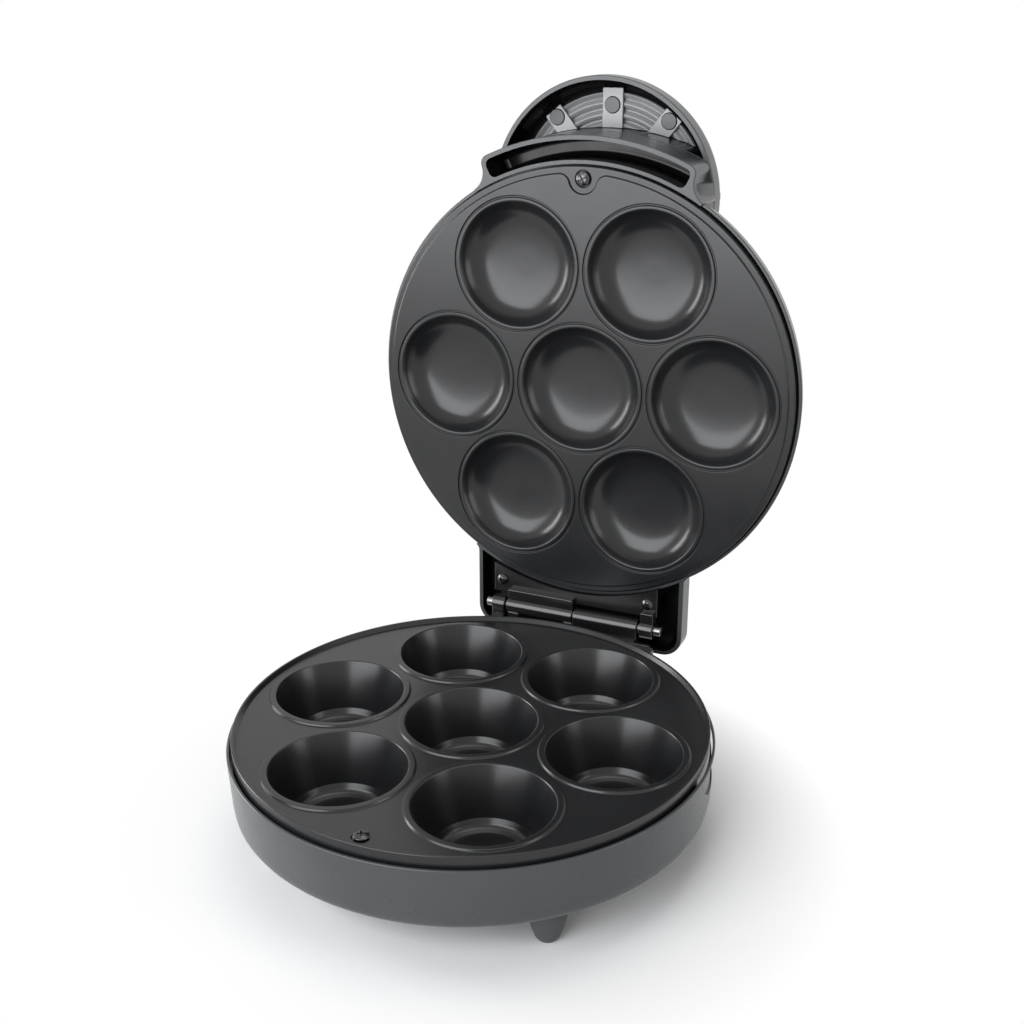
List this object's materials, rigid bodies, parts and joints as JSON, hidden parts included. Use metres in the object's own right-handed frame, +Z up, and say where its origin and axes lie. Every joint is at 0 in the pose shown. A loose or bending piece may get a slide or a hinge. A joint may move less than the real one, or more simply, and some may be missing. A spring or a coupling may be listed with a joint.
{
  "type": "cupcake maker",
  "caption": "Round countertop cupcake maker with a hinged domed lid held open, non-stick plates with round cups, and a handle pad over the front of the lid.",
  "frame": {"origin": "on the table, at the middle of the footprint with the lid open", "axes": "+Z up, +X to the right seen from the front, the hinge at the back, towards +Y"},
  "size_m": [0.2196, 0.2836, 0.3184],
  "materials": {
    "housing": "satin charcoal grey, fine moulded grain",
    "nonstick": "dark non-stick coating, low satin",
    "bracket": "black, moulded, glossy",
    "steel": "zinc plated",
    "black_screw": "black oxide",
    "sheath": "dull, heat tinted",
    "shield": "mill finish sheet",
    "rubber": "matte dark grey",
    "insert": "satin light grey",
    "ceramic": "off-white, hard",
    "fuse": "woven sleeve over a capsule",
    "red_lens": "translucent red",
    "green_lens": "translucent green",
    "lamp_glass": "small glass envelope"
  },
  "bodies": {
    "base": {"lower_housing": "housing", "lower_plate": "nonstick", "lower_heating_element": "sheath", "lower_heat_shield": "shield", "lower_shield_screw_front_left": "steel", "lower_shield_screw_front_right": "steel", "lower_shield_screw_back_left": "steel", "lower_shield_screw_back_right": "steel", "lower_plate_screw": "black_screw", "thermostat": "ceramic", "thermal_fuse": "fuse", "terminal_block": "ceramic", "cord_gland": "rubber", "foot_front_left": "rubber", "foot_front_right": "rubber", "foot_back_left": "rubber", "foot_back_right": "rubber", "base_hinge_bracket": "bracket", "base_hinge_screw_left": "black_screw", "base_hinge_screw_right": "black_screw", "hinge_pin": "steel"},
    "lid": {"upper_housing": "housing", "upper_plate": "nonstick", "upper_heating_element": "sheath", "upper_heat_shield": "shield", "upper_shield_screw_front_left": "steel", "upper_shield_screw_front_right": "steel", "upper_shield_screw_back_left": "steel", "upper_shield_screw_back_right": "steel", "upper_plate_screw": "black_screw", "lid_hinge_bracket": "bracket", "lid_hinge_screw_left": "black_screw", "lid_hinge_screw_right": "black_screw", "handle_insert": "insert", "power_light_lens": "red_lens", "ready_light_lens": "green_lens", "power_lamp": "lamp_glass", "ready_lamp": "lamp_glass"}
  },
  "joints": [
    {"name": "lid_hinge", "type": "hinge", "parent": "base", "child": "lid", "pos_m": [0, 0.08756, 0.051], "axis": [1, 0, 0], "range_deg": [0, 90.9]}
  ]
}
